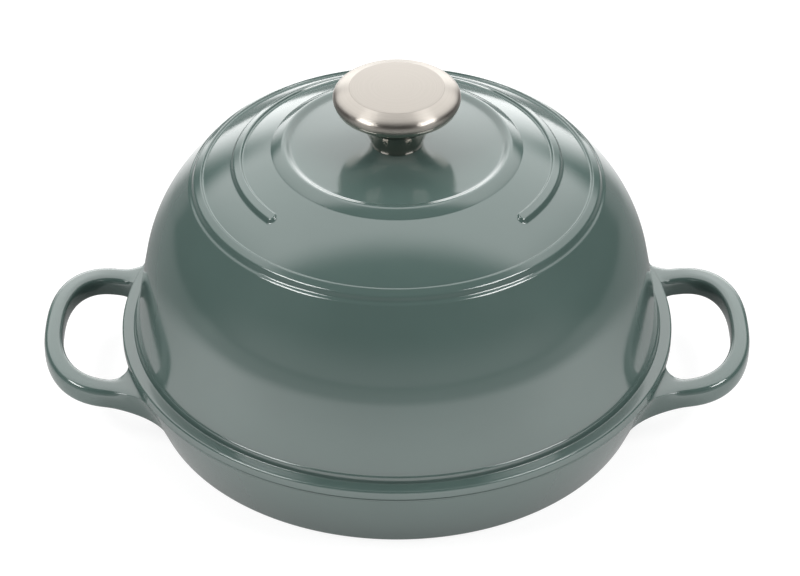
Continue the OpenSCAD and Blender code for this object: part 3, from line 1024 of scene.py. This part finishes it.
def white_floor():
    """A white acrylic sheet that glows, though no lamp lights it: the glow is painted light that lights the
    object and shows in its reflections, dim close to the foot as a painted shadow, bright in front of the
    object and at its sides, fading farther out, and with a bright patch behind. The camera sees it plain
    white, with a trace of the object's shadow."""
    material = bpy.data.materials.new("white_acrylic_sheet_painted_glow")
    material.use_nodes = True
    tree = material.node_tree
    tree.nodes.clear()
    where = add_node(tree, "ShaderNodeTexCoord").outputs["Object"]
    # Strength of the painted glow by the distance from the object's middle, in metres: fading, and a painted
    # shadow close to the foot
    away = add_node(tree, "ShaderNodeVectorMath", {"Vector": where}, operation="LENGTH")
    fading = add_node(
        tree, "ShaderNodeMapRange",
        {"Value": away.outputs["Value"], "From Min": 0.26, "From Max": 0.5, "To Min": 1.5, "To Max": 0.3},
        interpolation_type="SMOOTHSTEP",
    )
    painted_foot_shadow = add_node(
        tree, "ShaderNodeMapRange",
        {"Value": away.outputs["Value"], "From Min": 0.125, "From Max": 0.185, "To Min": 0.4, "To Max": 1.1},
        interpolation_type="SMOOTHSTEP",
    )
    # The painted glow is dark behind the object, but for one round patch
    parts = add_node(tree, "ShaderNodeSeparateXYZ", {"Vector": where})
    ahead = add_node(
        tree, "ShaderNodeMapRange", {"Value": parts.outputs["Y"], "From Min": 0.11, "From Max": -0.17},
        interpolation_type="SMOOTHSTEP",
    )
    spread = add_node(
        tree, "ShaderNodeMath", {0: fading.outputs["Result"], 1: painted_foot_shadow.outputs["Result"]},
        operation="MULTIPLY",
    )
    back = add_node(tree, "ShaderNodeVectorMath", {0: where, 1: (0.0, 0.42, 0.0)}, operation="DISTANCE")
    behind = add_node(
        tree, "ShaderNodeMapRange",
        {"Value": back.outputs["Value"], "From Min": 0.34, "From Max": 0.12, "To Max": 1.7},
        interpolation_type="SMOOTHSTEP",
    )
    strength = add_node(
        tree, "ShaderNodeMath",
        {0: spread.outputs["Value"], 1: ahead.outputs["Result"], 2: behind.outputs["Result"]},
        operation="MULTIPLY_ADD",
    )
    path = add_node(tree, "ShaderNodeLightPath").outputs["Is Camera Ray"]
    sheet = add_node(tree, "ShaderNodeBsdfDiffuse", {"Color": linear("#858585")})
    white = linear("#FFFFFF")
    # The painted glow, seen by all but the camera: light that the floor gives off though it is no lamp
    table = add_node(tree, "ShaderNodeEmission", {"Color": white, "Strength": strength.outputs["Value"]})
    sheet_and_painted_glow = add_node(tree, "ShaderNodeAddShader", {0: sheet.outputs["BSDF"], 1: table.outputs["Emission"]})
    shown = add_node(tree, "ShaderNodeBsdfDiffuse", {"Color": linear("#808080")})
    even = add_node(tree, "ShaderNodeEmission", {"Color": white, "Strength": 0.85})
    seen = add_node(tree, "ShaderNodeAddShader", {0: shown.outputs["BSDF"], 1: even.outputs["Emission"]})
    mix = add_node(
        tree, "ShaderNodeMixShader", {0: path, 1: sheet_and_painted_glow.outputs["Shader"], 2: seen.outputs["Shader"]},
    )
    add_node(tree, "ShaderNodeOutputMaterial", {"Surface": mix.outputs["Shader"]})
    return material


def light_world():
    """White to the camera. To everything else it is a dim room with a white wall behind the object
    and a pale band low down at the front."""
    world = bpy.data.worlds.new("pale_room")
    bpy.context.scene.world = world
    world.use_nodes = True
    tree = world.node_tree
    tree.nodes.clear()
    where = add_node(tree, "ShaderNodeTexCoord").outputs["Generated"]
    parts = add_node(tree, "ShaderNodeSeparateXYZ", {"Vector": where})
    behind = add_node(
        tree, "ShaderNodeMapRange",
        {"Value": parts.outputs["Y"], "From Min": 0.81, "From Max": 0.98, "To Min": 0.03, "To Max": 4.0},
        interpolation_type="SMOOTHSTEP",
    )
    front = add_node(
        tree, "ShaderNodeMapRange",
        {"Value": parts.outputs["Y"], "From Min": 0.1, "From Max": -0.6, "To Max": 0.65},
        interpolation_type="SMOOTHSTEP",
    )
    low = add_node(
        tree, "ShaderNodeMapRange", {"Value": parts.outputs["Z"], "From Min": 0.64, "From Max": 0.0},
        interpolation_type="SMOOTHSTEP",
    )
    total = add_node(
        tree, "ShaderNodeMath",
        {0: front.outputs["Result"], 1: low.outputs["Result"], 2: behind.outputs["Result"]},
        operation="MULTIPLY_ADD",
    )
    path = add_node(tree, "ShaderNodeLightPath").outputs["Is Camera Ray"]
    white = linear("#FFFFFF")
    room = add_node(tree, "ShaderNodeBackground", {"Color": white, "Strength": total.outputs["Value"]})
    seen = add_node(tree, "ShaderNodeBackground", {"Color": white, "Strength": 1.0})
    mix = add_node(
        tree, "ShaderNodeMixShader", {0: path, 1: room.outputs["Background"], 2: seen.outputs["Background"]},
    )
    add_node(tree, "ShaderNodeOutputWorld", {"Surface": mix.outputs["Shader"]})


class CLOCHE_OT_stage(bpy.types.Operator):
    """Set up the white floor, the lamps, the room and the camera"""

    bl_idname = "cloche.stage"
    bl_label = "Stage"

    def execute(self, context):
        scene = context.scene
        scene.view_settings.view_transform = "Standard"
        shape = bmesh.new()
        bmesh.ops.create_grid(shape, x_segments=8, y_segments=8, size=FLOOR_REACH)
        mesh = bpy.data.meshes.new("floor")
        shape.to_mesh(mesh)
        shape.free()
        floor = bpy.data.objects.new("floor", mesh)
        scene.collection.objects.link(floor)
        mesh.materials.append(white_floor())
        add_lamp("overhead_softbox", **SOFTBOX)
        for side, name in ((-1, "left_strip"), (1, "right_strip")):
            add_lamp(name, **{**STRIPS, "azimuth": side * STRIPS["azimuth"]})
        light_world()
        elevation = math.radians(VIEW_ELEVATION)
        forward = Vector((0, math.cos(elevation), -math.sin(elevation)))
        up = Vector((0, math.sin(elevation), math.cos(elevation)))
        camera = bpy.data.cameras.new("camera")
        camera.lens = LENS
        camera.sensor_width = 36.0
        camera.clip_start = 0.01
        obj = bpy.data.objects.new("camera", camera)
        scene.collection.objects.link(obj)
        obj.location = SEAM_MIDDLE - forward * VIEW_DISTANCE
        aim = forward + Vector((AIM_RIGHT, 0, 0)) + up * AIM_UP
        obj.rotation_euler = aim.to_track_quat("-Z", "Y").to_euler()
        scene.camera = obj
        return {"FINISHED"}


class CLOCHE_PT_panel(bpy.types.Panel):
    """Sidebar panel with the cloche's pieces, sizes and colours"""

    bl_label = "Bread Cloche"
    bl_idname = "CLOCHE_PT_panel"
    bl_space_type = "VIEW_3D"
    bl_region_type = "UI"
    bl_category = "Cloche"

    def draw(self, context):
        for operator in OPERATORS:
            self.layout.operator(operator.bl_idname)
        for group in (context.scene.cloche_sizes, context.scene.cloche_colours):
            column = self.layout.column()
            for name in group.__annotations__:
                column.prop(group, name)


OPERATORS = (CLOCHE_OT_pan, CLOCHE_OT_lid, CLOCHE_OT_knob, CLOCHE_OT_fixing, CLOCHE_OT_stage)
CLASSES = (ClocheSizes, ClocheColours, *OPERATORS, CLOCHE_PT_panel)


def register():
    for cls in CLASSES:
        bpy.utils.register_class(cls)
    bpy.types.Scene.cloche_sizes = PointerProperty(type=ClocheSizes)
    bpy.types.Scene.cloche_colours = PointerProperty(type=ClocheColours)


def unregister():
    del bpy.types.Scene.cloche_colours
    del bpy.types.Scene.cloche_sizes
    for cls in reversed(CLASSES):
        bpy.utils.unregister_class(cls)


def main():
    register()
    bpy.ops.cloche.pan()
    bpy.ops.cloche.lid()
    bpy.ops.cloche.knob()
    bpy.ops.cloche.fixing()
    bpy.ops.cloche.stage()


if __name__ == "__main__":
    main()
